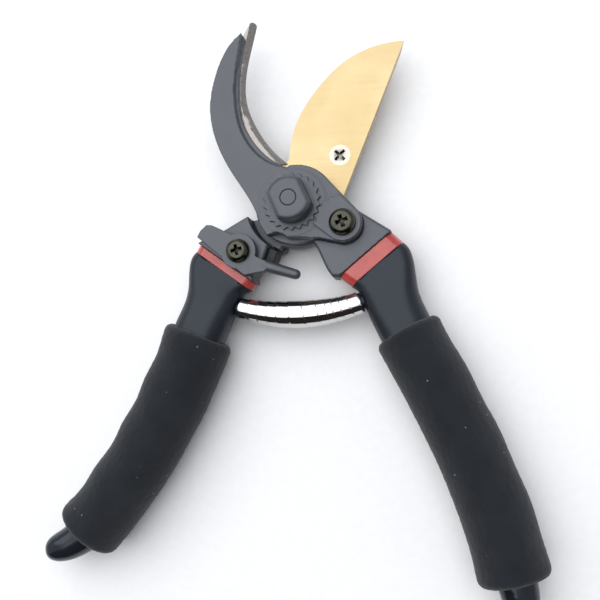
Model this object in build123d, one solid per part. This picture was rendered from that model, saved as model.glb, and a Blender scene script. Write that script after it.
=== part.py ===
from build123d import *
import math
import os

# Bypass pruning shears with foam-sleeved handles, lying on their back with the jaws open.
# Lengths are millimetres and angles are degrees.
# The origin is on the pivot axis, at the outer face of the pivot bolt's head.
# +Z runs along the bolt towards the nut and +Y points between the open jaws.

# ---- driving dimensions ---------------------------------------------------------------------

# Stack of plates along the pivot axis.
BOLT_HEAD_TOP = 4.6
WASHER_TOP = 5.35
CASTING_BACK = 5.4
BLADE_BACK = 10.0
BLADE_FACE = 13.0
HOOK_STACK_BACK = 13.05
HOOK_BACK = 15.2
HOOK_STEP = 17.6
HOOK_FACE = 19.2
BOSS_FACE = 19.5
TOOTH_FACE = 20.4
NUT_TOP = 26.5
RIGHT_CASTING_FACE = 16.0
LEFT_CASTING_FACE = 17.0
LEVER_FACE = 20.8

# Pivot.
CLOSING_ANGLE = 45.5
BOLT_R = 4.0
BOLT_END_R = 2.9
BOLT_HEAD_R = 8.0
BOLT_HEAD_CHAMFER = 0.8
BOLT_END_CHAMFER = 0.3
WASHER_R = 9.0
RUNNING_CLEARANCE = 0.05
BUSHING_R = 5.5
NUT_R = 8.2
NUT_FLATS = 13.2
NUT_TURN = -65.7
NUT_ROUNDING = 2.1
HUB_BOSS_R = 12.2

# Adjusting gear: a toothed ring under the nut, locked by a toothed segment on the tail screw.
TAIL = (18.3, -8.4)
TAIL_R = 6.9
SEGMENT_R = 6.5
RING_TEETH = 22
SEGMENT_TEETH = 22
TOOTH_HALF_HEIGHT = 0.75
TOOTH_CLEARANCE = 0.15

# Edge rounding.
CASTING_ROUNDING = 1.2
COLLAR_MIN_LENGTH = 20.0

# Clearance circles about the pivot.
RIGHT_RING_R = 14.5
THICK_START_R = 15.4
LEFT_HEAD_R = 15.0
LEFT_LOBE_R = 17.0
LEFT_FRONT_R = 17.3

# Blade.
BLADE_TANG_R = 13.0
BLADE_BEVEL_WIDTH = 4.0
BLADE_BEVEL_DEPTH = 2.7
COUNTER_BEVEL_WIDTH = 2.3
COUNTER_BEVEL_DEPTH = 1.9
BLADE_SCREW = (16.5, 18.3)
BLADE_SCREW_R = 3.9
BLADE_SCREW_END = 6.2
COUNTERSINK = 2.2
SCREW_ARM_R = 5.6
SCREW_SHANK_R = 2.2

# Lock: a lever in front, on one shaft with a hook behind, which catches a stud.
LOCK = (-19.4, -17.4)
LOCK_TRAVEL = 30.0
LOCK_BOSS_R = 6.5
LOCK_SHAFT_R = 3.2
LOCK_SCREW_R = 2.0
LOCK_HOOK_BACK = 2.2
LOCK_HOOK_FACE = 4.5
LOCK_HOOK_R = 5.0
LOCK_NUT_R = 3.9
LEVER_SWEEP_R = 14.5
STUD = (13.0, -16.7)
STUD_R = 1.6
STUD_HEAD_R = 2.5
STUD_HEAD_BACK = 1.2
STUD_HEAD_FACE = 2.0
STUD_CLEARANCE = 0.3

FINGER_ROOT = (-10.6, -22.5)
FINGER_TIP = (1.3, -26.2)
FINGER_Z = 18.85
FINGER_ROOT_R = 2.2
FINGER_TIP_R = 1.8
LEVER_BACK = 17.05
LOCK_NUT_BACK = 0.4
STUD_ROOT = 9.0

# Rubber stop between the castings.
BUMPER_BACK = 6.6
BUMPER_FACE = 14.6

# Rivets that hold the counter blade to the hook.
RIVETS = [(-26.2, 40.2), (-23.4, 23.0)]
RIVET_R = 1.5

# Screw heads.
PAN_HEAD_H = 2.7
TAIL_HEAD_R = 4.8
TAIL_SCREW_END = 8.0
LOCK_HEAD_R = 4.3

# Spring, an arch between two seats on the grips.
SPRING_LEFT = (-19.6, -37.3)
SPRING_TOP = (1.3, -39.6)
SPRING_RIGHT = (22.2, -36.2)
SPRING_Z = 11.0
SPRING_END_R = 3.9
SPRING_MID_R = 4.9
SPRING_BORE_R = 3.1
SEAT_PIN_R = 2.6
SEAT_PIN_LENGTH = 4.0
SEAT_ROOT = 4.5
SEAT_FLANGE_R = 3.5
SEAT_FLANGE = 1.6
SEAT_GAP = 0.3

# Foam sleeves.
SLEEVE_Z = 12.0
SLEEVE_THICK = 24.0
SLEEVE_GAP = 0.1

# Sections of each grip: x, y, z of the centre, heading, width in the handle plane, thickness.
LEFT_GRIP = [
    (-27.2, -23.2, 10.9, -125.7, 25.8, 10.6),
    (-29.8, -26.4, 11.0, -117.0, 23.4, 11.4),
    (-30.7, -31.6, 11.3, -107.0, 20.2, 13.4),
    (-35.0, -44.0, 12.0, -111.0, 19.2, 16.6),
    (-40.7, -58.0, 12.0, -115.0, 18.4, 16.6),
    (-50.2, -78.2, 12.0, -118.0, 17.6, 16.2),
    (-63.3, -99.5, 12.0, -124.0, 16.2, 15.2),
    (-77.0, -117.0, 12.0, -134.0, 14.2, 13.6),
    (-82.6, -121.6, 12.0, -146.0, 12.4, 12.2),
    (-88.6, -124.2, 12.0, -163.0, 10.4, 10.4),
    (-92.0, -125.0, 12.0, -170.0, 7.6, 7.6),
    (-93.6, -125.2, 12.0, -172.0, 3.4, 3.4),
]
RIGHT_GRIP = [
    (29.9, -22.7, 10.4, -50.1, 24.2, 9.8),
    (32.6, -26.4, 10.6, -58.0, 22.6, 10.8),
    (34.4, -34.0, 11.1, -68.0, 19.8, 13.4),
    (38.6, -44.3, 12.0, -64.0, 19.0, 16.6),
    (44.4, -56.6, 12.0, -61.5, 18.4, 16.6),
    (54.8, -75.6, 12.0, -63.5, 17.6, 16.2),
    (64.4, -97.6, 12.0, -69.0, 16.2, 15.2),
    (71.6, -119.3, 12.0, -74.5, 14.4, 13.8),
    (74.2, -129.6, 12.0, -77.0, 13.4, 12.8),
    (76.0, -138.0, 12.0, -78.5, 10.8, 10.8),
    (76.8, -141.6, 12.0, -78.5, 7.8, 7.8),
    (77.2, -143.2, 12.0, -78.5, 3.4, 3.4),
]

# Sections of each sleeve: x, y of the centre, heading, diameter in the handle plane.
LEFT_SLEEVE = [
    (-35.9, -46.4, -112.0, 25.4),
    (-45.0, -68.4, -115.5, 25.2),
    (-57.6, -91.4, -121.0, 24.8),
    (-78.2, -118.6, -131.0, 24.4),
]
RIGHT_SLEEVE = [
    (39.4, -45.8, -62.0, 24.0),
    (50.6, -67.2, -62.5, 23.8),
    (61.2, -89.6, -67.0, 23.8),
    (73.6, -129.4, -76.5, 24.4),
]
SLEEVE_RIM = 2.5

# Collars: the two ends of the face that meets the casting, with the handle to the right of the line.
LEFT_COLLAR = [(-36.2, -12.9), (-14.6, -28.4)]
RIGHT_COLLAR = [(16.1, -27.0), (35.2, -11.0)]


# ---- shape helpers --------------------------------------------------------------------------


def polar(radius, angle, centre=(0, 0)):
    """Point at a radius and an angle in degrees about a centre."""
    a = math.radians(angle)
    return (centre[0] + radius * math.cos(a), centre[1] + radius * math.sin(a))


def face_of(*edges):
    """Flat face bounded by edges laid end to end."""
    return Face(Wire(edges))


def plate(face, low, high):
    """Plate of a flat face, from one height to another."""
    return extrude(Pos(0, 0, low) * face, high - low, dir=(0, 0, 1))


def disc(radius, low, high, at=(0, 0)):
    """Upright cylinder between two heights."""
    return Pos(at[0], at[1], low) * extrude(Circle(radius), high - low)


def polygon(*points):
    """Flat face of a closed polygon."""
    return make_face(Polyline(*points, close=True))


def edges_at(solid, height):
    """Edges of a solid that lie flat at one height."""
    return [e for e in solid.edges() if abs(e.bounding_box().min.Z - height) < 1e-4
            and abs(e.bounding_box().max.Z - height) < 1e-4]


def cross_recess(head_r, top, at, turn, depth=1.7):
    """Tapering cross recess that a screwdriver fits."""
    arm = Pos(0, 0, -depth) * loft([
        Rectangle(head_r * 0.62, head_r * 0.2),
        Pos(0, 0, depth + 0.2) * Rectangle(head_r * 0.98, head_r * 0.27),
    ])
    return Pos(at[0], at[1], top) * Rot(0, 0, turn) * (arm + Rot(0, 0, 90) * arm)


def pan_head_screw(head_r, seat, shank_r, shank_end, at, turn):
    """Domed cross-recessed screw, with its head's underside at the seat height."""
    head = disc(head_r, seat, seat + PAN_HEAD_H, at)
    head = fillet(edges_at(head, seat + PAN_HEAD_H), PAN_HEAD_H * 0.8)
    return head + disc(shank_r, shank_end, seat, at) - cross_recess(head_r, seat + PAN_HEAD_H, at, turn)


def toothed_outline(pitch_r, teeth, phase, first, last):
    """Corner points of pointed teeth along part of a circle, tips outward at the phase angle."""
    step = 360 / teeth
    points = []
    for i in range(first, last + 1):
        points.append(polar(pitch_r + TOOTH_HALF_HEIGHT - TOOTH_CLEARANCE, phase + i * step))
        if i < last:
            points.append(polar(pitch_r - TOOTH_HALF_HEIGHT, phase + (i + 0.5) * step))
    return points


def cross_plane(x, y, z, heading):
    """Upright plane across a handle, with its normal along the handle."""
    a = math.radians(heading)
    return Plane(origin=(x, y, z), x_dir=(-math.sin(a), math.cos(a), 0), z_dir=(math.cos(a), math.sin(a), 0))


def grip_section(station, grow=0.0):
    """Rounded-rectangle section of a grip."""
    x, y, z, heading, width, thick = station
    corner = 0.44 * min(width, thick)
    return cross_plane(x, y, z, heading) * RectangleRounded(width + grow, thick + grow, corner)


def grip_body(stations, grow=0.0):
    """Moulded grip lofted through its sections."""
    return loft([grip_section(s, grow) for s in stations])


def sleeve_body(stations, grip_stations):
    """Foam tube around a grip, with rounded rims."""
    body = loft([cross_plane(x, y, SLEEVE_Z, heading) * Ellipse(width / 2, SLEEVE_THICK / 2)
                 for x, y, heading, width in stations])
    body = fillet(body.edges().filter_by(GeomType.LINE, reverse=True), SLEEVE_RIM)
    return body - grip_body(grip_stations, SLEEVE_GAP)


# ---- hook side ------------------------------------------------------------------------------


def hook_outline():
    """Outer shape of the hook plate, from the tip round the back to the tail and the jaw."""
    back = Spline((-19.6, 65.6), (-24.3, 61.0), (-29.1, 50.7), (-31.3, 37.7), (-28.8, 24.5), (-22.6, 12.1),
                  (-14.2, -1.3), (-11.9, -7.6))
    foot = Polyline((-11.9, -7.6), (-9.3, -11.8), (-4.6, -10.4), (-2.0, -12.8), (9.8, -13.4),
                    polar(TAIL_R, -97, TAIL))
    tail = ThreePointArc(polar(TAIL_R, -97, TAIL), polar(TAIL_R, -28, TAIL), polar(TAIL_R, 41, TAIL))
    shoulder = Line(polar(TAIL_R, 41, TAIL), (13.2, 7.6))
    hub = ThreePointArc((13.2, 7.6), (7.0, 12.6), (-2.6, 13.5))
    jaw = Spline((-2.6, 13.5), (-7.6, 16.4), (-14.4, 23.2), (-19.3, 32.7), (-20.6, 45.1), (-19.6, 58.6),
                 (-18.7, 64.6))
    tip = Line((-18.7, 64.6), (-19.6, 65.6))
    return face_of(back, *foot.edges(), tail, shoulder, hub, jaw, tip)


def step_outline():
    """Area beside the jaw where the hook plate is stepped down, run out past the plate's edge."""
    crest = Spline((-1.0, 13.0), (-6.2, 14.0), (-13.5, 18.9), (-18.6, 26.2), (-21.7, 37.9), (-21.9, 48.0),
                   (-20.7, 57.5), (-19.6, 65.6))
    outside = Polyline((-19.6, 65.6), (-12.0, 66.0), (-10.0, 30.0), (-1.0, 13.0))
    return face_of(crest, *outside.edges())


def make_hook_plate():
    body = plate(hook_outline(), HOOK_BACK, HOOK_FACE)
    body -= plate(step_outline(), HOOK_STEP, HOOK_FACE)
    body += disc(HUB_BOSS_R, HOOK_FACE, BOSS_FACE)
    body -= disc(BOLT_R, HOOK_BACK, BOSS_FACE)
    body -= disc(SCREW_SHANK_R, HOOK_BACK, HOOK_FACE, TAIL)
    for spot in RIVETS:
        body -= disc(RIVET_R, HOOK_BACK, HOOK_FACE, spot)
    return body


def make_counter_blade():
    """Hardened strip under the hook, ground to an edge along the jaw."""
    back = Spline((-17.2, 70.9), (-22.6, 61.5), (-27.6, 50.6), (-29.8, 37.7), (-27.2, 25.0), (-21.4, 14.2),
                  (-16.5, 6.8))
    foot = Line((-16.5, 6.8), (-14.4, 7.4))
    ring = ThreePointArc((-14.4, 7.4), (-9.6, 13.1), (-2.8, 16.0))
    edge = Spline((-2.8, 16.0), (-8.0, 20.8), (-14.5, 30.0), (-18.7, 41.1), (-18.6, 53.2), (-16.6, 63.0),
                  (-14.9, 70.6))
    tip = ThreePointArc((-14.9, 70.6), (-15.9, 71.5), (-17.2, 70.9))
    body = plate(face_of(back, foot, ring, edge, tip), HOOK_STACK_BACK, HOOK_BACK)
    curves = [e for e in edges_at(body, HOOK_BACK) if e.geom_type == GeomType.BSPLINE]
    body = chamfer(min(curves, key=lambda e: e.length), COUNTER_BEVEL_WIDTH, COUNTER_BEVEL_DEPTH,
                   reference=body.faces().sort_by(Axis.Z)[-1])
    for spot in RIVETS:
        body -= disc(RIVET_R, HOOK_STACK_BACK, HOOK_BACK, spot)
    return body


def make_rivets():
    return [disc(RIVET_R, HOOK_STACK_BACK, HOOK_FACE, spot) for spot in RIVETS]


def rounded_casting(outline, face):
    """Thick casting with its free edges rounded, back and front, and its collar edge left sharp."""
    body = plate(outline, CASTING_BACK, face)
    rims = edges_at(body, face) + edges_at(body, CASTING_BACK)
    return fillet([e for e in rims if e.length < COLLAR_MIN_LENGTH and e.geom_type != GeomType.CIRCLE],
                  CASTING_ROUNDING)


def right_casting_outline():
    """Thick part of the right casting, between the hub's clearance circle and the collar."""
    inner = ThreePointArc(polar(THICK_START_R, -8), polar(THICK_START_R, -36), polar(THICK_START_R, -64))
    top = Polyline(polar(THICK_START_R, -8), (22.9, -2.9), RIGHT_COLLAR[1], RIGHT_COLLAR[0], (13.9, -26.9))
    jaw = Spline((13.9, -26.9), (12.0, -24.2), (8.4, -16.4), polar(THICK_START_R, -64))
    return face_of(inner, *top.edges(), jaw)


def make_right_casting():
    body = rounded_casting(right_casting_outline(), RIGHT_CASTING_FACE)
    web_r = THICK_START_R + 1
    web = polygon((0, 0), polar(web_r, -9), polar(web_r, -36), polar(web_r, -63))
    body += plate(web, HOOK_STACK_BACK, HOOK_BACK)
    body += disc(RIGHT_RING_R, HOOK_STACK_BACK, HOOK_BACK)
    body -= plate(hook_outline(), HOOK_BACK, RIGHT_CASTING_FACE)
    body -= disc(BOLT_R, HOOK_STACK_BACK, HOOK_BACK)
    body -= disc(SCREW_SHANK_R, TAIL_SCREW_END, HOOK_BACK, TAIL)
    body -= disc(STUD_R, CASTING_BACK, STUD_ROOT, STUD)
    return body


def make_tail_screw():
    return pan_head_screw(TAIL_HEAD_R, TOOTH_FACE, SCREW_SHANK_R, TAIL_SCREW_END, TAIL, 20)


def gear_pitch_radii():
    """Pitch radii that put the ring and the segment in mesh across the pivot-to-tail distance."""
    distance = math.hypot(*TAIL)
    ring = distance * RING_TEETH / (RING_TEETH + SEGMENT_TEETH)
    return ring, distance - ring


def make_toothed_ring():
    ring_r, _ = gear_pitch_radii()
    towards_tail = math.degrees(math.atan2(TAIL[1], TAIL[0]))
    tips = toothed_outline(ring_r, RING_TEETH, towards_tail, 0, RING_TEETH)
    return plate(polygon(*tips[:-1]), BOSS_FACE, TOOTH_FACE) - disc(BOLT_R, BOSS_FACE, TOOTH_FACE)


def make_tooth_segment():
    _, segment_r = gear_pitch_radii()
    towards_pivot = math.degrees(math.atan2(-TAIL[1], -TAIL[0]))
    half_step = 180 / SEGMENT_TEETH
    teeth = [(x + TAIL[0], y + TAIL[1])
             for x, y in toothed_outline(segment_r, SEGMENT_TEETH, towards_pivot - half_step, -3, 2)]
    outline = polygon(polar(SEGMENT_R, 48, TAIL), *teeth, polar(SEGMENT_R, -128, TAIL))
    body = plate(outline, HOOK_FACE, TOOTH_FACE)
    body += disc(SEGMENT_R, HOOK_FACE, TOOTH_FACE, TAIL)
    return body - disc(SCREW_SHANK_R, HOOK_FACE, TOOTH_FACE, TAIL) - disc(HUB_BOSS_R, HOOK_FACE, BOSS_FACE)


def make_pivot_nut():
    across = Rot(0, 0, NUT_TURN) * Rectangle(4 * NUT_R, NUT_FLATS)
    body = plate(Circle(NUT_R) & across, TOOTH_FACE, NUT_TOP)
    body = fillet(edges_at(body, NUT_TOP), NUT_ROUNDING)
    return body - disc(BOLT_END_R, TOOTH_FACE, NUT_TOP)


def make_pivot_bolt():
    head = disc(BOLT_HEAD_R, 0, BOLT_HEAD_TOP)
    head = chamfer(edges_at(head, 0), BOLT_HEAD_CHAMFER)
    end = disc(BOLT_END_R, TOOTH_FACE, NUT_TOP)
    end = chamfer(edges_at(end, NUT_TOP), BOLT_END_CHAMFER)
    return head + disc(BOLT_R, BOLT_HEAD_TOP, TOOTH_FACE) + end


def make_bolt_washer():
    return disc(WASHER_R, BOLT_HEAD_TOP, WASHER_TOP) - disc(BOLT_R, BOLT_HEAD_TOP, WASHER_TOP)


def make_catch_stud():
    shank = disc(STUD_R, STUD_HEAD_FACE, STUD_ROOT, STUD)
    return shank + disc(STUD_HEAD_R, STUD_HEAD_BACK, STUD_HEAD_FACE, STUD)


def collar_body(ends, grip_stations):
    """Clear plastic collar between a casting and a grip."""
    (x0, y0), (x1, y1) = ends
    z, thick = grip_stations[0][2], grip_stations[0][5]
    heading = math.degrees(math.atan2(x0 - x1, y1 - y0))
    length = math.hypot(x1 - x0, y1 - y0)
    near = ((x0 + x1) / 2, (y0 + y1) / 2, z, heading, length, thick)
    return loft([grip_section(near), grip_section(grip_stations[0])])


def seat_body(fraction, outward):
    """Flanged pin that holds one end of the spring, let into the grip."""
    arch = spring_arch()
    spot = arch.position_at(fraction)
    along = arch.tangent_at(fraction) * outward
    plane = Plane(origin=(spot.X, spot.Y, SPRING_Z), z_dir=(along.X, along.Y, 0))
    pin = Pos(0, 0, -SEAT_PIN_LENGTH) * extrude(Circle(SEAT_PIN_R), SEAT_PIN_LENGTH + SEAT_ROOT)
    flange = Pos(0, 0, SEAT_GAP) * extrude(Circle(SEAT_FLANGE_R), SEAT_FLANGE)
    return plane * (pin + flange)


# ---- blade side -----------------------------------------------------------------------------


def blade_outline():
    edge = Spline((40.4, 59.9), (35.0, 59.7), (26.5, 57.8), (17.9, 53.4), (11.0, 47.2), (5.9, 41.0), (1.8, 34.3),
                  (-0.8, 27.9), (-2.0, 22.2), (-2.3, 18.0))
    heel = Line((-2.3, 18.0), (-8.6, 9.8))
    tang = ThreePointArc((-8.6, 9.8), polar(BLADE_TANG_R, -120), (BLADE_TANG_R, -0.4))
    foot = Line((BLADE_TANG_R, -0.4), (17.0, 1.2))
    spine = Line((17.0, 1.2), (40.4, 59.9))
    return face_of(edge, heel, tang, foot, spine)


def make_cutting_blade():
    """Flat-faced blade, ground on its back along the curved edge."""
    body = plate(blade_outline(), BLADE_BACK, BLADE_FACE)
    edge = [e for e in edges_at(body, BLADE_BACK) if e.geom_type == GeomType.BSPLINE]
    body = chamfer(edge, BLADE_BEVEL_WIDTH, BLADE_BEVEL_DEPTH, reference=body.faces().sort_by(Axis.Z)[0])
    body -= disc(BUSHING_R, BLADE_BACK, BLADE_FACE)
    body -= disc(SCREW_SHANK_R, BLADE_BACK, BLADE_FACE, BLADE_SCREW)
    return body - countersunk_head()


def countersunk_head():
    """Cone of the blade screw's head."""
    x, y = BLADE_SCREW
    small_end = Pos(x, y, BLADE_FACE - COUNTERSINK) * Circle(SCREW_SHANK_R)
    return loft([small_end, Pos(x, y, BLADE_FACE) * Circle(BLADE_SCREW_R)])


def make_blade_screw():
    body = countersunk_head() + disc(SCREW_SHANK_R, BLADE_SCREW_END, BLADE_FACE - COUNTERSINK, BLADE_SCREW)
    return body - cross_recess(BLADE_SCREW_R, BLADE_FACE, BLADE_SCREW, 45, 1.5)


def make_pivot_bushing():
    bore_r = BOLT_R + RUNNING_CLEARANCE
    return disc(BUSHING_R, CASTING_BACK, BLADE_FACE) - disc(bore_r, CASTING_BACK, BLADE_FACE)


def left_head_outline():
    """Thin head of the left casting, under the blade."""
    lobe = polygon((0, 0), polar(LEFT_LOBE_R, 196), polar(LEFT_LOBE_R + 0.6, 222), polar(LEFT_LOBE_R, 247.5))
    screw_arm = polygon(polar(LEFT_HEAD_R, 20), polar(SCREW_ARM_R, -38, BLADE_SCREW),
                        polar(SCREW_ARM_R, 142, BLADE_SCREW),
                        polar(LEFT_HEAD_R, 100))
    return lobe, screw_arm


def left_casting_outline():
    """Thick part of the left casting, between the hub's clearance circle and the collar."""
    inner = ThreePointArc(polar(LEFT_FRONT_R, 192), polar(LEFT_FRONT_R, 215), polar(LEFT_FRONT_R, 238))
    jaw = Polyline(polar(LEFT_FRONT_R, 238), (-11.2, -20.2), (-14.9, -25.4), LEFT_COLLAR[1], LEFT_COLLAR[0],
                   (-26.7, -9.0), polar(LEFT_FRONT_R, 192))
    return face_of(inner, *jaw.edges())


def make_left_casting():
    lobe, screw_arm = left_head_outline()
    body = rounded_casting(left_casting_outline(), LEFT_CASTING_FACE)
    body += disc(LEFT_HEAD_R, CASTING_BACK, BLADE_BACK)
    body += plate(lobe, CASTING_BACK, BLADE_BACK)
    body += plate(left_root_outline(), CASTING_BACK, BLADE_BACK)
    body += plate(screw_arm, CASTING_BACK, BLADE_BACK)
    body += disc(SCREW_ARM_R, CASTING_BACK, BLADE_BACK, BLADE_SCREW)
    body -= disc(BUSHING_R, CASTING_BACK, BLADE_BACK)
    body -= disc(SCREW_SHANK_R, BLADE_SCREW_END, BLADE_BACK, BLADE_SCREW)
    body -= disc(LOCK_SHAFT_R + RUNNING_CLEARANCE, CASTING_BACK, LEFT_CASTING_FACE, LOCK)
    return body


def left_root_outline():
    """Web that joins the left head to the thick part."""
    web_r = LEFT_FRONT_R + 1.5
    return polygon((0, 0), polar(web_r, 194), polar(web_r, 215), polar(LEFT_FRONT_R + 1, 236))


def make_bumper(casting):
    """Rubber stop that meets the right casting when the shears close."""
    face_angle = -63.6 - CLOSING_ANGLE - 1.2
    pad = polygon((-12.5, -16.8), polar(17.9, 236), polar(17.9, face_angle), polar(22.8, face_angle), (-12.5, -20.9))
    return plate(pad, BUMPER_BACK, BUMPER_FACE) - casting


# ---- lock -----------------------------------------------------------------------------------


def make_lock_lever():
    """Thumb lever with its shaft and finger."""
    boss = disc(LOCK_BOSS_R, LEVER_BACK, LEVER_FACE, LOCK)
    tab = polygon((-34.9, -11.7), (-33.7, -9.4), (-31.4, -7.3), (-29.4, -7.5), (-21.5, -11.4), (-12.8, -19.6),
                  (-9.4, -21.2), (-8.2, -23.1), (-9.7, -25.0), (-17.2, -26.2))
    body = boss + plate(tab, LEVER_BACK, LEVER_FACE)
    run = (FINGER_TIP[0] - FINGER_ROOT[0], FINGER_TIP[1] - FINGER_ROOT[1], 0)
    axis = Plane(origin=(*FINGER_ROOT, FINGER_Z), z_dir=run)
    finger = axis * loft([Circle(FINGER_ROOT_R), Pos(0, 0, math.hypot(*run)) * Circle(FINGER_TIP_R)])
    finger += Pos(*FINGER_TIP, FINGER_Z) * Sphere(FINGER_TIP_R)
    body = body + finger - disc(LEVER_SWEEP_R, 0, LEVER_BACK, LOCK)
    body += disc(LOCK_SHAFT_R, LOCK_HOOK_FACE, LEVER_BACK, LOCK)
    return body - disc(LOCK_SCREW_R, LOCK_HOOK_FACE, LEVER_FACE, LOCK)


def make_lock_screw():
    return pan_head_screw(LOCK_HEAD_R, LEVER_FACE, LOCK_SCREW_R, LOCK_NUT_BACK, LOCK, 12)


def make_lock_nut():
    height = LOCK_HOOK_BACK - LOCK_NUT_BACK
    body = Pos(LOCK[0], LOCK[1], LOCK_NUT_BACK) * extrude(RegularPolygon(LOCK_NUT_R, 6), height)
    return body - disc(LOCK_SCREW_R, LOCK_NUT_BACK, LOCK_HOOK_BACK, LOCK)


def lock_reach():
    """Distance and direction from the lock's shaft to the stud when the shears are closed."""
    a = math.radians(-CLOSING_ANGLE)
    x = STUD[0] * math.cos(a) - STUD[1] * math.sin(a) - LOCK[0]
    y = STUD[0] * math.sin(a) + STUD[1] * math.cos(a) - LOCK[1]
    return math.hypot(x, y), math.degrees(math.atan2(y, x))


def make_lock_hook():
    """Hook behind the casting, drawn along +X and then turned to its open place."""
    reach, angle = lock_reach()
    slot = STUD_R + STUD_CLEARANCE
    arm = polygon((0, -3.0), (reach - slot - 1.0, -2.6), (reach - slot, -1.6), (reach - slot, 0), (reach + slot, 0),
                  (reach + slot, -2.2), (reach + slot + 1.2, -2.6), (reach + slot + 2.0, 1.6),
                  (reach + slot, slot + 2.2), (0, 4.2))
    arm -= Pos(reach, 0) * Circle(slot)
    arm += Circle(LOCK_HOOK_R)
    arm -= Circle(LOCK_SCREW_R)
    body = extrude(arm, LOCK_HOOK_FACE - LOCK_HOOK_BACK)
    return Pos(LOCK[0], LOCK[1], LOCK_HOOK_BACK) * Rot(0, 0, angle + LOCK_TRAVEL) * body


# ---- spring ---------------------------------------------------------------------------------


def spring_arch():
    """Centre line of the spring, from the left seat to the right one."""
    return ThreePointArc(SPRING_LEFT, SPRING_TOP, SPRING_RIGHT)


def make_return_spring():
    """Outer shape of the volute spring, a hollow arch that is widest in the middle."""
    arch = spring_arch()
    sections = []
    radii = [(0.0, SPRING_END_R), (0.25, 4.4), (0.5, SPRING_MID_R), (0.75, 4.5), (1.0, SPRING_END_R)]
    for fraction, radius in radii:
        spot = arch.position_at(fraction)
        along = arch.tangent_at(fraction)
        plane = Plane(origin=(spot.X, spot.Y, SPRING_Z), x_dir=(-along.Y, along.X, 0), z_dir=(along.X, along.Y, 0))
        sections.append((plane, radius))
    outside = loft([plane * Circle(radius) for plane, radius in sections])
    bore = loft([plane * Circle(SPRING_BORE_R) for plane, _ in sections])
    return outside - bore


# ---- all parts ------------------------------------------------------------------------------


def make_parts():
    left_casting = make_left_casting()
    left_seat = seat_body(0, -1)
    right_seat = seat_body(1, 1)
    return {
        "hook_plate": make_hook_plate(),
        "counter_blade": make_counter_blade(),
        "counter_blade_rivets": make_rivets(),
        "right_handle_casting": make_right_casting(),
        "tail_screw": make_tail_screw(),
        "toothed_ring": make_toothed_ring(),
        "tooth_segment": make_tooth_segment(),
        "pivot_nut": make_pivot_nut(),
        "pivot_bolt": make_pivot_bolt(),
        "bolt_washer": make_bolt_washer(),
        "catch_stud": make_catch_stud(),
        "right_collar": collar_body(RIGHT_COLLAR, RIGHT_GRIP),
        "right_grip": grip_body(RIGHT_GRIP) - right_seat,
        "right_foam_sleeve": sleeve_body(RIGHT_SLEEVE, RIGHT_GRIP),
        "right_spring_seat": right_seat,
        "cutting_blade": make_cutting_blade(),
        "blade_screw": make_blade_screw(),
        "pivot_bushing": make_pivot_bushing(),
        "left_handle_casting": left_casting,
        "bumper": make_bumper(left_casting),
        "left_collar": collar_body(LEFT_COLLAR, LEFT_GRIP),
        "left_grip": grip_body(LEFT_GRIP) - left_seat,
        "left_foam_sleeve": sleeve_body(LEFT_SLEEVE, LEFT_GRIP),
        "left_spring_seat": left_seat,
        "lock_lever": make_lock_lever(),
        "lock_screw": make_lock_screw(),
        "lock_hook": make_lock_hook(),
        "lock_nut": make_lock_nut(),
        "return_spring": make_return_spring(),
    }


os.makedirs("parts", exist_ok=True)
for name, shape in make_parts().items():
    pieces = shape if isinstance(shape, list) else [shape]
    export_step(Compound(children=pieces) if len(pieces) > 1 else pieces[0], f"parts/{name}.step")
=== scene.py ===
import math

import bmesh
import bpy
from mathutils import Matrix, Vector, noise


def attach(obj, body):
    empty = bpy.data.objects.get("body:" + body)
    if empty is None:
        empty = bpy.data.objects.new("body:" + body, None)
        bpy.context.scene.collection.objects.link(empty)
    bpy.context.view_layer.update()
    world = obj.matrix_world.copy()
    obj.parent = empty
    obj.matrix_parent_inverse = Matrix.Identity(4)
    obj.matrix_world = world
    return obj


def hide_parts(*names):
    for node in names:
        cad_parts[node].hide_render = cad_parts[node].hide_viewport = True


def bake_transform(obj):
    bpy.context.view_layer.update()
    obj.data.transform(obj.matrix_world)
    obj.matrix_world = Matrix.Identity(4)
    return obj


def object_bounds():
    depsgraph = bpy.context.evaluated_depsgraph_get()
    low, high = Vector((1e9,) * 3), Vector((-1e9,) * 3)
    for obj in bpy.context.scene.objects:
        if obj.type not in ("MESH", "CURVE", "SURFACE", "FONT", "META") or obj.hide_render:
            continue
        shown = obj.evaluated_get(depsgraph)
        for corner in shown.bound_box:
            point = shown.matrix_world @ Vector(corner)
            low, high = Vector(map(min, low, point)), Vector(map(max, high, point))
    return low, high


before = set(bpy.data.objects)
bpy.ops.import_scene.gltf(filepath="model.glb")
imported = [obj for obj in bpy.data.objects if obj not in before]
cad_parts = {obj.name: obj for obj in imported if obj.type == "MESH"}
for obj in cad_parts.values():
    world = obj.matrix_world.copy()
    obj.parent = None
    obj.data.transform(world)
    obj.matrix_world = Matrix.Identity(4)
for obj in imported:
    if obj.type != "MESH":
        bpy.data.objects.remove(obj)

# Bypass pruning shears on a pale table: coated steel and castings, foam-sleeved handles and a chromed volute
# spring. Every piece stands in the frame's own place, in metres, and MM turns a size in millimetres to that.
MM = 0.001
cad_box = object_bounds()


# ---- shared helpers -------------------------------------------------------------------------


def linear(hex_colour):
    """Linear colour, with full alpha, of an sRGB hex colour."""
    channels = [int(hex_colour[i:i + 2], 16) / 255 for i in (1, 3, 5)]
    return (*[c / 12.92 if c <= 0.04045 else ((c + 0.055) / 1.055) ** 2.4 for c in channels], 1.0)


def per_mm(size):
    """Scale that gives a texture features of this size in millimetres."""
    return 1 / (size * MM)


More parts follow.
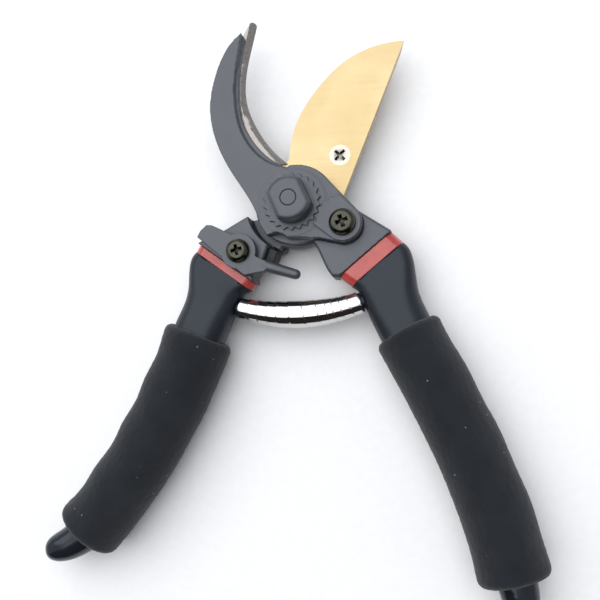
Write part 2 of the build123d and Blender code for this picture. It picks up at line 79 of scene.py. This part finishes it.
def add(tree, kind, settings=None, links=None):
    """Adds a node, sets its properties or sockets by name, and links its inputs to other nodes' outputs."""
    node = tree.nodes.new(kind)
    for key, value in (settings or {}).items():
        if isinstance(key, str) and hasattr(node, key):
            setattr(node, key, value)
        else:
            node.inputs[key].default_value = value
    for key, source in (links or {}).items():
        tree.links.new(source, node.inputs[key])
    return node


def new_material(name, settings):
    """Material with one Principled shader, whose even values are set on its own sockets."""
    material = bpy.data.materials.new(name)
    material.use_nodes = True
    shader = material.node_tree.nodes["Principled BSDF"]
    for key, value in settings.items():
        shader.inputs[key].default_value = value
    return material, material.node_tree, shader


def surface_noise(tree, size, detail=2.0, stretch=(1, 1, 1)):
    """Noise over the piece's own coordinates. stretch draws its features out along the axes."""
    place = add(tree, "ShaderNodeTexCoord")
    shrink = [per_mm(size * s) for s in stretch]
    mapping = add(tree, "ShaderNodeMapping", {"Scale": shrink}, {"Vector": place.outputs["Object"]})
    return add(tree, "ShaderNodeTexNoise", {"Scale": 1.0, "Detail": detail}, {"Vector": mapping.outputs[0]})


# Noise stays near its middle, so a pattern runs from its low end to its high end between these two values.
NOISE_LOW = 0.3
NOISE_HIGH = 0.7

# Openness at which a hollow is painted fully in shade, and at which a surface gets no painted shade.
SHUT_IN = 0.45
OPEN_TO_SKY = 0.85
HOLLOW_SAMPLES = 8


def two_colours(tree, factor, low, high):
    """Colour that goes from low to high as the factor rises."""
    ramp = add(tree, "ShaderNodeValToRGB", {}, {"Fac": factor})
    for point, place, colour in zip(ramp.color_ramp.elements, (NOISE_LOW, NOISE_HIGH), (low, high)):
        point.position = place
        point.color = linear(colour)
    return ramp.outputs["Color"]


def spotted(tree, factor, ground, spots):
    """Colour that is the ground colour where the factor is 0 and that of the spots where it is 1."""
    mixed = add(tree, "ShaderNodeMix", {"data_type": "RGBA", 7: linear(spots)}, {0: factor, 6: ground})
    return mixed.outputs[2]


def blend_colours(tree, shader, factor, low, high):
    """Colours the surface from low to high as the factor rises."""
    tree.links.new(two_colours(tree, factor, low, high), shader.inputs["Base Color"])


def painted_hollow_shade(tree, shader, reach, shade_colour):
    """Paints shade into the base colour: darkens it towards the shade colour where walls stand closer than
    reach, in millimetres.
    """
    unshaded_colour = shader.inputs["Base Color"].links[0].from_socket
    # Painted shade: the less open a spot is, the darker its colour is painted.
    openness = add(tree, "ShaderNodeAmbientOcclusion", {"samples": HOLLOW_SAMPLES, "Distance": reach * MM})
    shade_share = add(tree, "ShaderNodeMapRange",
                 {"From Min": SHUT_IN, "From Max": OPEN_TO_SKY, "To Min": 1.0, "To Max": 0.0},
                 {"Value": openness.outputs["AO"]})
    tree.links.new(spotted(tree, shade_share.outputs["Result"], unshaded_colour, shade_colour), shader.inputs["Base Color"])


def vary_roughness(tree, shader, factor, low, high):
    """Roughness from low to high as the factor rises."""
    spread = add(tree, "ShaderNodeMapRange",
                 {"From Min": NOISE_LOW, "From Max": NOISE_HIGH, "To Min": low, "To Max": high},
                 {"Value": factor})
    tree.links.new(spread.outputs["Result"], shader.inputs["Roughness"])


def bump(tree, shader, height, depth):
    """Raises the surface by a height pattern, up to depth in millimetres."""
    node = add(tree, "ShaderNodeBump", {"Strength": 1.0, "Distance": depth * MM}, {"Height": height})
    tree.links.new(node.outputs["Normal"], shader.inputs["Normal"])


# ---- materials ------------------------------------------------------------------------------


def black_powder_coat():
    """Black polyester powder coat: satin, with a fine grain left by the melted powder."""
    material, tree, shader = new_material("black_powder_coat", {
        "Base Color": linear("#32363c"), "Roughness": 0.42, "Specular IOR Level": 1.0,
        "Specular Tint": linear("#f5f8ff")})
    grain = surface_noise(tree, 0.45)
    drift = surface_noise(tree, 9.0)
    blend_colours(tree, shader, drift.outputs["Fac"], "#2f3339", "#353a40")
    vary_roughness(tree, shader, grain.outputs["Fac"], 0.38, 0.5)
    bump(tree, shader, grain.outputs["Fac"], 0.012)
    return material


def titanium_nitride():
    """Titanium nitride on brushed steel: pale gold metal, with fine lines and cloudy patches."""
    material, tree, shader = new_material("titanium_nitride_coat", {
        "Metallic": 1.0, "Base Color": linear("#b8a57c"), "Roughness": 0.38})
    cloud = surface_noise(tree, 14.0, 3.0)
    blend_colours(tree, shader, cloud.outputs["Fac"], "#b4a077", "#bdab85")
    lines = surface_noise(tree, 0.35, 3.0, (60, 1, 1))
    vary_roughness(tree, shader, lines.outputs["Fac"], 0.3, 0.42)
    bump(tree, shader, lines.outputs["Fac"], 0.006)
    return material


def ground_steel():
    """Hardened carbon steel from the grinding wheel: mid grey, with coarse lines."""
    material, tree, shader = new_material("ground_carbon_steel", {
        "Metallic": 1.0, "Base Color": linear("#94908c"), "Roughness": 0.3})
    lines = surface_noise(tree, 0.5, 3.0, (30, 1, 1))
    blend_colours(tree, shader, lines.outputs["Fac"], "#8b8783", "#a29e9a")
    vary_roughness(tree, shader, lines.outputs["Fac"], 0.25, 0.42)
    bump(tree, shader, lines.outputs["Fac"], 0.014)
    return material


# Walls of a screw's recess stand closer together than this, in millimetres; within that reach its colour is
# painted in shade.
RECESS_REACH = 1.6


def black_oxide():
    """Steel blackened in hot oxide and oiled: a glossy dark metal with a faint olive cast."""
    material, tree, shader = new_material("black_oxide_steel", {
        "Metallic": 1.0, "Base Color": linear("#48473f"), "Roughness": 0.26})
    marks = surface_noise(tree, 2.4, 3.0)
    blend_colours(tree, shader, marks.outputs["Fac"], "#403f39", "#504f46")
    # Painted shade: the screw's recess is darkened to near black.
    painted_hollow_shade(tree, shader, RECESS_REACH, "#0a0a09")
    vary_roughness(tree, shader, marks.outputs["Fac"], 0.2, 0.3)
    bump(tree, shader, marks.outputs["Fac"], 0.004)
    return material


def zinc_plate():
    """Zinc plate with a clear passivate: pale, faintly warm metal with a soft shine and fine spangle."""
    material, tree, shader = new_material("zinc_plated_steel", {
        "Metallic": 1.0, "Base Color": linear("#bdb9ae"), "Roughness": 0.36})
    spangle = surface_noise(tree, 0.9)
    blend_colours(tree, shader, spangle.outputs["Fac"], "#b4b0a5", "#c4c0b5")
    # Painted shade: the screw's recess is darkened to a dark brown.
    painted_hollow_shade(tree, shader, RECESS_REACH, "#2a2117")
    vary_roughness(tree, shader, spangle.outputs["Fac"], 0.28, 0.44)
    bump(tree, shader, spangle.outputs["Fac"], 0.005)
    return material


def bright_chrome():
    """Chromium plate on spring steel: a mirror, with a faint haze from handling."""
    material, tree, shader = new_material("bright_chrome_plate", {
        "Metallic": 1.0, "Base Color": linear("#d2d1d1"), "Roughness": 0.07})
    haze = surface_noise(tree, 4.0)
    vary_roughness(tree, shader, haze.outputs["Fac"], 0.07, 0.13)
    return material


def clear_red_plastic():
    """Tinted clear acrylic: deep red where it is thin-lit, paler where light skims its polished face."""
    material, tree, shader = new_material("clear_red_acrylic", {
        "Base Color": linear("#b5443f"), "Roughness": 0.16, "IOR": 1.49, "Coat Weight": 0.5,
        "Coat Roughness": 0.06, "Subsurface Weight": 0.25, "Subsurface Scale": 0.004})
    flow = surface_noise(tree, 6.0)
    blend_colours(tree, shader, flow.outputs["Fac"], "#aa3c38", "#bf4d47")
    bump(tree, shader, flow.outputs["Fac"], 0.02)
    return material


# Where along the handles, in y, the grips start to be polished by the hand, and where they are glossy.
POLISH_STARTS = -70.0
POLISH_FULL = -110.0


def moulded_nylon():
    """Glass-filled black nylon: fine spark-eroded texture, and polished from handling near the tip."""
    material, tree, shader = new_material("moulded_black_nylon", {
        "Base Color": linear("#181c21"), "Roughness": 0.36, "Specular IOR Level": 0.45,
        "Specular Tint": linear("#dfe9f7")})
    grain = surface_noise(tree, 0.4)
    drift = surface_noise(tree, 12.0)
    blend_colours(tree, shader, drift.outputs["Fac"], "#161a1f", "#1c2127")
    place = add(tree, "ShaderNodeTexCoord")
    along = add(tree, "ShaderNodeSeparateXYZ", {}, {0: place.outputs["Object"]})
    polish = add(tree, "ShaderNodeMapRange", {
        "From Min": POLISH_FULL * MM, "From Max": POLISH_STARTS * MM, "To Min": 0.14, "To Max": 0.40},
        {"Value": along.outputs["Y"]})
    tree.links.new(polish.outputs["Result"], shader.inputs["Roughness"])
    bump(tree, shader, grain.outputs["Fac"], 0.010)
    return material


# Size of the foam's pores and spacing of the lint on it, in millimetres. A speck's radius is a share of that
# spacing.
PORE_SIZE = 0.55
LINT_SPACING = 5.0
LINT_SHARE = 0.05


def closed_cell_foam():
    """Nitrile foam: dead matt black, with half-millimetre pores and a few specks of pale lint."""
    material, tree, shader = new_material("closed_cell_foam", {
        "Base Color": linear("#1d1f22"), "Roughness": 0.95, "Specular IOR Level": 0.25,
        "Sheen Weight": 0.15, "Sheen Roughness": 0.6})
    place = add(tree, "ShaderNodeTexCoord")
    patch = surface_noise(tree, 8.0, 3.0)
    skin = two_colours(tree, patch.outputs["Fac"], "#15191f", "#1c2127")
    lint = add(tree, "ShaderNodeTexVoronoi", {"Scale": per_mm(LINT_SPACING)},
               {"Vector": place.outputs["Object"]})
    speck = add(tree, "ShaderNodeMath", {"operation": "LESS_THAN", 1: LINT_SHARE},
                {0: lint.outputs["Distance"]})
    tree.links.new(spotted(tree, speck.outputs[0], skin, "#7d828a"), shader.inputs["Base Color"])
    pores = add(tree, "ShaderNodeTexVoronoi", {"Scale": per_mm(PORE_SIZE)},
                {"Vector": place.outputs["Object"]})
    bump(tree, shader, pores.outputs["Distance"], 0.06)
    return material


def moulded_rubber():
    """Black nitrile rubber: soft sheen, no gloss."""
    material, tree, shader = new_material("moulded_rubber", {
        "Base Color": linear("#151617"), "Roughness": 0.6})
    grain = surface_noise(tree, 0.5)
    blend_colours(tree, shader, grain.outputs["Fac"], "#121314", "#1b1c1e")
    bump(tree, shader, grain.outputs["Fac"], 0.015)
    return material


def sintered_bronze():
    """Oil-filled sintered bronze: brown metal with open pores."""
    material, tree, shader = new_material("sintered_bronze", {
        "Metallic": 1.0, "Base Color": linear("#94693f"), "Roughness": 0.5})
    grain = surface_noise(tree, 0.3)
    blend_colours(tree, shader, grain.outputs["Fac"], "#7d5733", "#a67a4c")
    bump(tree, shader, grain.outputs["Fac"], 0.02)
    return material


def white_table():
    """Matt white laminate, with a barely uneven surface."""
    material, tree, shader = new_material("white_laminate", {
        "Base Color": linear("#f4f5f6"), "Roughness": 0.7})
    grain = surface_noise(tree, 3.0)
    blend_colours(tree, shader, grain.outputs["Fac"], "#f3f4f5", "#f6f7f8")
    bump(tree, shader, grain.outputs["Fac"], 0.01)
    return material


def brown_felt():
    """Dull felt on a board: dark brown, with no shine."""
    material, _, _ = new_material("brown_felt", {
        "Base Color": linear("#2b2622"), "Roughness": 1.0, "Specular IOR Level": 0.0})
    return material


# ---- pieces made from the frame's own solids ------------------------------------------------

MERGE = 0.002 * MM
FLAT = math.radians(0.6)
CREASE = math.radians(32)
SMOOTHING = 0.5
HOOK_CELL = 0.40
HOOK_ROUNDS = 5


def joined_copy(node, whole):
    """Copy of a solid with its loose triangles joined and, if whole, each flat face made one."""
    bm = bmesh.new()
    bm.from_mesh(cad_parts[node].data)
    bmesh.ops.remove_doubles(bm, verts=bm.verts, dist=MERGE)
    if whole:
        bmesh.ops.dissolve_limit(bm, angle_limit=FLAT, verts=bm.verts, edges=bm.edges)
    return bm


def bmesh_islands(bm):
    """Vertices of each separate solid in a bmesh."""
    left = set(bm.verts)
    islands = []
    while left:
        growing = [left.pop()]
        island = set(growing)
        while growing:
            for edge in growing.pop().link_edges:
                for vertex in edge.verts:
                    if vertex not in island:
                        island.add(vertex)
                        growing.append(vertex)
        left -= island
        islands.append(island)
    return islands


def mesh_of(bm, name):
    """Mesh made from a bmesh, which goes."""
    mesh = bpy.data.meshes.new(name)
    bm.to_mesh(mesh)
    bm.free()
    return mesh


def plain_mesh(source, name):
    """Plain mesh of an object with its modifiers applied. The object goes."""
    bpy.context.scene.collection.objects.link(source)
    evaluated = source.evaluated_get(bpy.context.evaluated_depsgraph_get())
    mesh = bpy.data.meshes.new_from_object(evaluated)
    mesh.name = name
    bpy.data.objects.remove(source)
    return mesh


def new_piece(name, mesh, material):
    """Object at the origin that shows a mesh in one material."""
    mesh.materials.clear()
    mesh.materials.append(material)
    piece = bpy.data.objects.new(name, mesh)
    bpy.context.scene.collection.objects.link(piece)
    return piece


def fit_to_frame(piece, body, node):
    """The piece moves with its body and stands for its solid."""
    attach(piece, body)
    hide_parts(node)
    return piece


def flat_faces_lead(source):
    """Shades each broad flat face flat, and keeps the bend of the shading to the narrow faces round it."""
    source.modifiers.new("flat_faces_lead", "WEIGHTED_NORMAL").keep_sharp = True


def soft_edged(mesh, name, cell, rounds):
    """Skin of small even cells round a mesh, with its edges worn soft by rounds of smoothing."""
    source = bpy.data.objects.new(name + "_source", mesh)
    skin = source.modifiers.new("skin", "REMESH")
    skin.mode, skin.voxel_size = "VOXEL", cell * MM
    soften = source.modifiers.new("soften", "SMOOTH")
    soften.factor, soften.iterations = SMOOTHING, rounds
    made = plain_mesh(source, name)
    made.shade_smooth()
    return made


def coated_part(node, body, material, slot, cell, rounds):
    """Cast, forged or plated solid, whose edges are soft under their finish."""
    mesh = soft_edged(mesh_of(joined_copy(node, whole=False), node), node + "_finished", cell, rounds)
    return fit_to_frame(new_piece(node + "_finished", mesh, material), body, node)


# Cross recess of the blade screw: how much longer its arms get, and the depth and radius that hold it.
CROSS_STRETCH = 1.4
CROSS_DEPTH = 1.6
CROSS_R = 2.1


def longer_cross(bm):
    """Draws out the arms of the blade screw's cross recess, which stand at 45 degrees to x and y."""
    corners = [Vector(pick(v.co[i] for v in bm.verts) for i in range(3)) for pick in (min, max)]
    middle = (corners[0].xy + corners[1].xy) / 2
    turn = Matrix.Rotation(math.radians(45), 2)
    for vertex in bm.verts:
        arms = turn @ (vertex.co.xy - middle)
        if arms.length < CROSS_R * MM and vertex.co.z > corners[1].z - CROSS_DEPTH * MM:
            longer = 0 if abs(arms.x) > abs(arms.y) else 1
            if abs(arms[longer]) > abs(arms[1 - longer]) + MERGE:
                arms[longer] *= CROSS_STRETCH
            vertex.co.xy = middle + turn.transposed() @ arms


def machined_part(node, body, material, slot, rounding, steps, reshape=None):
    """Solid with crisp edges, broken to a small radius in millimetres where rounding isn't 0."""
    bm = joined_copy(node, whole=rounding > 0)
    if reshape:
        reshape(bm)
    if rounding:
        sharp = [e for e in bm.edges if e.is_manifold and e.is_convex and e.calc_face_angle() > CREASE]
        bmesh.ops.bevel(bm, geom=sharp, offset=rounding * MM, offset_type="OFFSET", segments=steps,
                        profile=0.5, affect="EDGES", clamp_overlap=False)
    mesh = mesh_of(bm, node)
    mesh.shade_smooth()
    mesh.set_sharp_from_angle(angle=CREASE)
    source = bpy.data.objects.new(node + "_source", mesh)
    flat_faces_lead(source)
    piece = new_piece(node + "_finished", plain_mesh(source, node + "_finished"), material)
    return fit_to_frame(piece, body, node)


def painted_hook(material):
    """Hook whose coat runs unbroken over the flush heads of its rivets."""
    rivets = joined_copy("counter_blade_rivets", whole=False)
    for rivet in bmesh_islands(rivets):
        middle = sum(vertex.co.z for vertex in rivet) / len(rivet)
        for vertex in rivet:
            vertex.co.z = max(vertex.co.z, middle)
    heads = mesh_of(rivets, "rivet_heads")
    bm = joined_copy("hook_plate", whole=False)
    bm.from_mesh(heads)
    bpy.data.meshes.remove(heads)
    mesh = soft_edged(mesh_of(bm, "hook_plate"), "hook_plate_finished", HOOK_CELL, HOOK_ROUNDS)
    piece = new_piece("hook_plate_finished", mesh, material)
    return fit_to_frame(piece, "hook_side", "hook_plate")


# ---- foam sleeves ---------------------------------------------------------------------------

# The cell and the depths and sizes of the unevenness are in millimetres.
FOAM_CELL = 0.6
FOAM_ROUNDS = 8
DIMPLE_DEPTH = 0.12
DIMPLE_SIZE = 1.6
WAVE_DEPTH = 0.22
WAVE_SIZE = 13.0


def foam_sleeve(node, body, material, fingers):
    """Foam tube with soft rims and an uneven skin.

    fingers gives the waves that fingers press in: the side, the way along, the spacing and the depth.
    """
    mesh = soft_edged(mesh_of(joined_copy(node, whole=False), node), node + "_foam", FOAM_CELL, FOAM_ROUNDS)
    side, along, spacing, depth = fingers
    normals = [v.normal.copy() for v in mesh.vertices]
    for vertex, normal in zip(mesh.vertices, normals):
        at = vertex.co / MM
        dimples = DIMPLE_DEPTH * noise.noise(at / DIMPLE_SIZE)
        waves = WAVE_DEPTH * noise.noise(at / WAVE_SIZE)
        squeeze = depth * max(0.0, normal.dot(side)) * math.sin(math.tau * at.dot(along) / spacing)
        vertex.co += normal * (dimples + waves + squeeze) * MM
    piece = new_piece(node + "_foam", mesh, material)
    fit_to_frame(piece, body, node)
    return piece


# ---- volute spring --------------------------------------------------------------------------

# How far each turn moves on from the last, in millimetres, from the left handle to the right one.
TURN_STEPS = (3.1, 3.3, 3.3, 3.1, 4.2, 4.8, 2.9, 2.0, 2.6, 2.9, 3.5)
TURNS = len(TURN_STEPS) + 1
WIDEST_TURN = 5
TURN_FACETS = 48
RIBBON_STRIPS = 16
RIBBON_WIDTH = 5.7
RIBBON_THICKNESS = 0.13
EDGE_SHARE = 0.125
EDGE_DROP = 0.12
WIDEST_R = 5.05
LEFT_END_R = 3.69
RIGHT_END_R = 3.94
ARCH_STEPS = 96
ARCH = [Vector(point) * MM for point in ((-21.0, -36.9, 11.0), (1.3, -39.6, 11.0), (23.6, -35.8, 11.0))]


def straight_curve(tree, factor, points):
    """Straight lines from point to point, read at the factor."""
    node = add(tree, "ShaderNodeFloatCurve", {}, {"Value": factor})
    line = node.mapping.curves[0].points
    line[0].location, line[1].location = points[0], points[-1]
    for point in points[1:-1]:
        line.new(*point)
    for point in line:
        point.handle_type = "VECTOR"
    node.mapping.update()
    return node.outputs["Value"]


def volute_tree(material):
    """Geometry nodes for a flat ribbon wound round an arch, with its width along the arch."""
    tree = bpy.data.node_groups.new("volute_spring", "GeometryNodeTree")
    tree.interface.new_socket("Spring", in_out="OUTPUT", socket_type="NodeSocketGeometry")
    sockets = {}
    for name, kind in (("Start", "Vector"), ("Middle", "Vector"), ("End", "Vector"), ("Turns", "Float"),
                       ("Widest Radius", "Float"), ("Ribbon Width", "Float")):
        socket = tree.interface.new_socket(name, in_out="INPUT", socket_type="NodeSocket" + kind)
        sockets[name] = socket.identifier
    given = add(tree, "NodeGroupInput").outputs

    # A flat sheet, whose x turns round the arch and whose y lies across the ribbon.
    sheet = add(tree, "GeometryNodeMeshGrid", {
        "Size X": 1.0, "Size Y": 1.0, "Vertices X": TURNS * TURN_FACETS + 1, "Vertices Y": RIBBON_STRIPS + 1})
    flat = add(tree, "GeometryNodeInputPosition")
    flat = add(tree, "ShaderNodeSeparateXYZ", {}, {0: flat.outputs[0]})
    turn = add(tree, "ShaderNodeMath", {"operation": "ADD", 1: 0.5}, {0: flat.outputs["X"]}).outputs[0]

    # Both ends are closed: the first and last half turns don't move on.
    moved = [sum(TURN_STEPS[:i]) / sum(TURN_STEPS) for i in range(TURNS)]
    pitch = [(0.0, 0.0), *(((i + 0.5) / TURNS, share) for i, share in enumerate(moved)), (1.0, 1.0)]
    arch = add(tree, "GeometryNodeCurveArc", {"mode": "POINTS", "Resolution": ARCH_STEPS},
               {"Start": given["Start"], "Middle": given["Middle"], "End": given["End"]}).outputs["Curve"]
    length = add(tree, "GeometryNodeCurveLength", {}, {"Curve": arch})
    share = add(tree, "ShaderNodeMath", {"operation": "DIVIDE"},
                {0: given["Ribbon Width"], 1: length.outputs[0]}).outputs[0]
    first = add(tree, "ShaderNodeMath", {"operation": "MULTIPLY", 1: 0.5}, {0: share}).outputs[0]
    last = add(tree, "ShaderNodeMath", {"operation": "SUBTRACT", 0: 1.0}, {1: first}).outputs[0]
    centre = add(tree, "ShaderNodeMapRange", {},
                 {"Value": straight_curve(tree, turn, pitch), "To Min": first, "To Max": last})
    along = add(tree, "ShaderNodeMath", {"operation": "MULTIPLY_ADD"},
                {0: flat.outputs["Y"], 1: share, 2: centre.outputs["Result"]})
    spot = add(tree, "GeometryNodeSampleCurve", {"mode": "FACTOR", "use_all_curves": True},
               {"Curves": arch, "Factor": along.outputs[0]})

    # The winding starts and ends underneath, a quarter turn before the side.
    angle = add(tree, "ShaderNodeMath", {"operation": "MULTIPLY"}, {0: turn, 1: given["Turns"]})
    angle = add(tree, "ShaderNodeMath", {"operation": "MULTIPLY_ADD", 1: math.tau, 2: -math.pi / 2},
                {0: angle.outputs[0]}).outputs[0]
    upward = add(tree, "ShaderNodeMath", {"operation": "SINE"}, {0: angle})
    sideways = add(tree, "ShaderNodeMath", {"operation": "COSINE"}, {0: angle})
    across = add(tree, "ShaderNodeVectorMath", {"operation": "CROSS_PRODUCT", 0: (0, 0, 1)},
                 {1: spot.outputs["Tangent"]})
    across = add(tree, "ShaderNodeVectorMath", {"operation": "SCALE"},
                 {0: across.outputs[0], "Scale": sideways.outputs[0]})
    above = add(tree, "ShaderNodeCombineXYZ", {}, {"Z": upward.outputs[0]})
    outward = add(tree, "ShaderNodeVectorMath", {"operation": "ADD"},
                  {0: across.outputs[0], 1: above.outputs[0]})

    # The radius rises to the widest turn and falls again, so that each turn tucks under the next.
    peak = (WIDEST_TURN + 0.5) / TURNS
    ends = [(0.0, LEFT_END_R / WIDEST_R), (peak, 1.0), (1.0, RIGHT_END_R / WIDEST_R)]
    radius = add(tree, "ShaderNodeMath", {"operation": "MULTIPLY"},
                 {0: straight_curve(tree, turn, ends), 1: given["Widest Radius"]})

    # The ribbon's two edges are rolled in a little.
    aside = add(tree, "ShaderNodeMath", {"operation": "ABSOLUTE"}, {0: flat.outputs["Y"]})
    rolled = add(tree, "ShaderNodeMapRange", {
        "From Min": 0.5 * (1 - EDGE_SHARE), "From Max": 0.5, "To Min": 0.0, "To Max": EDGE_DROP * MM},
        {"Value": aside.outputs[0]})
    radius = add(tree, "ShaderNodeMath", {"operation": "SUBTRACT"},
                 {0: radius.outputs[0], 1: rolled.outputs["Result"]})
    reach = add(tree, "ShaderNodeVectorMath", {"operation": "SCALE"},
                {0: outward.outputs[0], "Scale": radius.outputs[0]})
    place = add(tree, "ShaderNodeVectorMath", {"operation": "ADD"},
                {0: spot.outputs["Position"], 1: reach.outputs[0]})
    wound = add(tree, "GeometryNodeSetPosition", {},
                {"Geometry": sheet.outputs["Mesh"], "Position": place.outputs[0]})
    real = add(tree, "GeometryNodeRealizeInstances", {}, {0: wound.outputs[0]})
    coated = add(tree, "GeometryNodeSetMaterial", {"Material": material}, {"Geometry": real.outputs[0]})
    add(tree, "NodeGroupOutput", {}, {0: coated.outputs[0]})
    return tree, sockets


def volute_spring(material):
    """Chromed ribbon spring, wound round an arch between the two handles."""
    tree, sockets = volute_tree(material)
    source = bpy.data.objects.new("spring_source", bpy.data.meshes.new("spring_source"))
    winding = source.modifiers.new("winding", "NODES")
    winding.node_group = tree
    for name, value in {
            "Start": ARCH[0], "Middle": ARCH[1], "End": ARCH[2], "Turns": float(TURNS),
            "Widest Radius": WIDEST_R * MM, "Ribbon Width": RIBBON_WIDTH * MM}.items():
        winding[sockets[name]] = value
    gauge = source.modifiers.new("gauge", "SOLIDIFY")
    gauge.thickness, gauge.offset = RIBBON_THICKNESS * MM, 0.0
    wound = plain_mesh(source, "wound_ribbon")
    bm = bmesh.new()
    bm.from_mesh(wound)
    bmesh.ops.recalc_face_normals(bm, faces=bm.faces)
    mesh = mesh_of(bm, "volute_spring")
    mesh.shade_smooth()
    mesh.set_sharp_from_angle(angle=CREASE)
    piece = new_piece("volute_spring", mesh, material)
    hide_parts("return_spring")
    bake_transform(piece)
    return piece


# ---- the shears -----------------------------------------------------------------------------

coat, gold, steel = black_powder_coat(), titanium_nitride(), ground_steel()
oxide, zinc, chrome = black_oxide(), zinc_plate(), bright_chrome()
red, nylon, foam = clear_red_plastic(), moulded_nylon(), closed_cell_foam()
rubber, bronze = moulded_rubber(), sintered_bronze()

# Solid, body, material, slot, cell of its skin in millimetres, and rounds of smoothing.
COATED = [
    ("right_handle_casting", "hook_side", coat, "black_coat", 0.40, 3),
    ("toothed_ring", "hook_side", coat, "black_coat", 0.14, 2),
    ("tooth_segment", "hook_side", coat, "black_coat", 0.14, 2),
    ("pivot_nut", "hook_side", coat, "black_coat", 0.25, 3),
    ("pivot_bolt", "hook_side", coat, "black_screw", 0.20, 2),
    ("catch_stud", "hook_side", zinc, "plated_steel", 0.14, 2),
    ("left_handle_casting", "blade_side", coat, "black_coat", 0.40, 3),
    ("bumper", "blade_side", rubber, "rubber", 0.30, 5),
    ("lock_lever", "lock", coat, "black_coat", 0.25, 5),
    ("lock_hook", "lock", coat, "black_coat", 0.25, 3),
    ("lock_nut", "lock", zinc, "plated_steel", 0.14, 2),
]

# Solid, body, material, slot, radius of its broken edges in millimetres, and steps round that radius.
MACHINED = [
    ("counter_blade", "hook_side", steel, "ground_steel", 0.0, 1),
    ("bolt_washer", "hook_side", zinc, "plated_steel", 0.0, 1),
    ("tail_screw", "hook_side", oxide, "black_screw", 0.0, 1),
    ("counter_blade_rivets", "hook_side", zinc, "plated_steel", 0.0, 1),
    ("right_collar", "hook_side", red, "red_plastic", 0.35, 2),
    ("right_grip", "hook_side", nylon, "black_grip", 0.0, 1),
    ("right_spring_seat", "hook_side", nylon, "black_grip", 0.2, 2),
    ("cutting_blade", "blade_side", gold, "gold_blade", 0.0, 1),
    ("pivot_bushing", "blade_side", bronze, "bronze", 0.0, 1),
    ("left_collar", "blade_side", red, "red_plastic", 0.35, 2),
    ("left_grip", "blade_side", nylon, "black_grip", 0.0, 1),
    ("left_spring_seat", "blade_side", nylon, "black_grip", 0.2, 2),
    ("lock_screw", "lock", oxide, "black_screw", 0.0, 1),
]
for part in COATED:
    coated_part(*part)
for part in MACHINED:
    machined_part(*part)
machined_part("blade_screw", "blade_side", zinc, "plated_steel", 0.0, 1, longer_cross)
painted_hook(coat)

LEFT_SIDE = (Vector((-0.863, 0.505, 0)), Vector((-0.505, -0.863, 0)), 19.0, 0.3)
RIGHT_SIDE = (Vector((0.92, 0.39, 0)), Vector((0.39, -0.92, 0)), 24.0, 0.2)
foam_sleeve("left_foam_sleeve", "blade_side", foam, LEFT_SIDE)
foam_sleeve("right_foam_sleeve", "hook_side", foam, RIGHT_SIDE)
volute_spring(chrome)


# ---- table, light and camera ----------------------------------------------------------------

# Sizes and places are in metres here. The gap under the shears, the lens and the sensor are in millimetres.
TABLE_GAP = 0.15
TABLE_R = 3.0
TABLE_SIDES = 96
LIGHT_SIZE = 3.0
LIGHT_PLACE = Vector((-0.50, 0.42, 1.75))
LIGHT_WATTS = 48.0
SKY_COLOUR = "#f7f9ff"
SKY_STRENGTH = 0.6
FLAG_WIDTH = 3.2
FLAG_HEIGHT = 1.5
FLAG_DISTANCE = 0.9
CAMERA_TARGET = Vector((1.71, -34.64, 13.0)) * MM
CAMERA_BACK = Vector((0.19081, -0.12187, 0.97403))
CAMERA_RIGHT = Vector((0.98135, 0.0, -0.19224))
CAMERA_DISTANCE = 280 * MM
LENS = 46.67
SENSOR_WIDTH = 36.0
NEAREST_SEEN = 0.01

bm = bmesh.new()
bmesh.ops.create_circle(bm, cap_ends=True, radius=TABLE_R, segments=TABLE_SIDES)
bmesh.ops.translate(bm, verts=bm.verts, vec=(0, 0, cad_box[0].z - TABLE_GAP * MM))
table = new_piece("table", mesh_of(bm, "table"), white_table())

# A dark board stands in front, so that the near walls and the chrome have something dark to show.
bm = bmesh.new()
upright = Matrix.Translation((0, -FLAG_DISTANCE, FLAG_HEIGHT / 2)) @ Matrix.Rotation(math.radians(90), 4, "X")
board = upright @ Matrix.Diagonal((FLAG_WIDTH, FLAG_HEIGHT, 1, 1))
bmesh.ops.create_grid(bm, x_segments=1, y_segments=1, size=0.5, matrix=board)
flag = new_piece("front_flag", mesh_of(bm, "front_flag"), brown_felt())
flag.visible_camera = False

world = bpy.data.worlds.new("studio")
world.use_nodes = True
sky = world.node_tree.nodes["Background"]
sky.inputs["Color"].default_value = linear(SKY_COLOUR)
sky.inputs["Strength"].default_value = SKY_STRENGTH
bpy.context.scene.world = world

softbox = bpy.data.lights.new("softbox", "AREA")
softbox.size = LIGHT_SIZE
softbox.energy = LIGHT_WATTS
lamp = bpy.data.objects.new("softbox", softbox)
lamp.location = LIGHT_PLACE
lamp.rotation_euler = LIGHT_PLACE.to_track_quat("Z", "Y").to_euler()
bpy.context.scene.collection.objects.link(lamp)

lens = bpy.data.cameras.new("camera")
lens.lens = LENS
lens.sensor_width = SENSOR_WIDTH
lens.clip_start = NEAREST_SEEN
camera = bpy.data.objects.new("camera", lens)
up = CAMERA_BACK.cross(CAMERA_RIGHT)
turned = Matrix((CAMERA_RIGHT, up, CAMERA_BACK)).transposed().to_4x4()
camera.matrix_world = Matrix.Translation(CAMERA_TARGET + CAMERA_BACK * CAMERA_DISTANCE) @ turned
bpy.context.scene.collection.objects.link(camera)
bpy.context.scene.camera = camera
bpy.context.scene.view_settings.view_transform = "Standard"
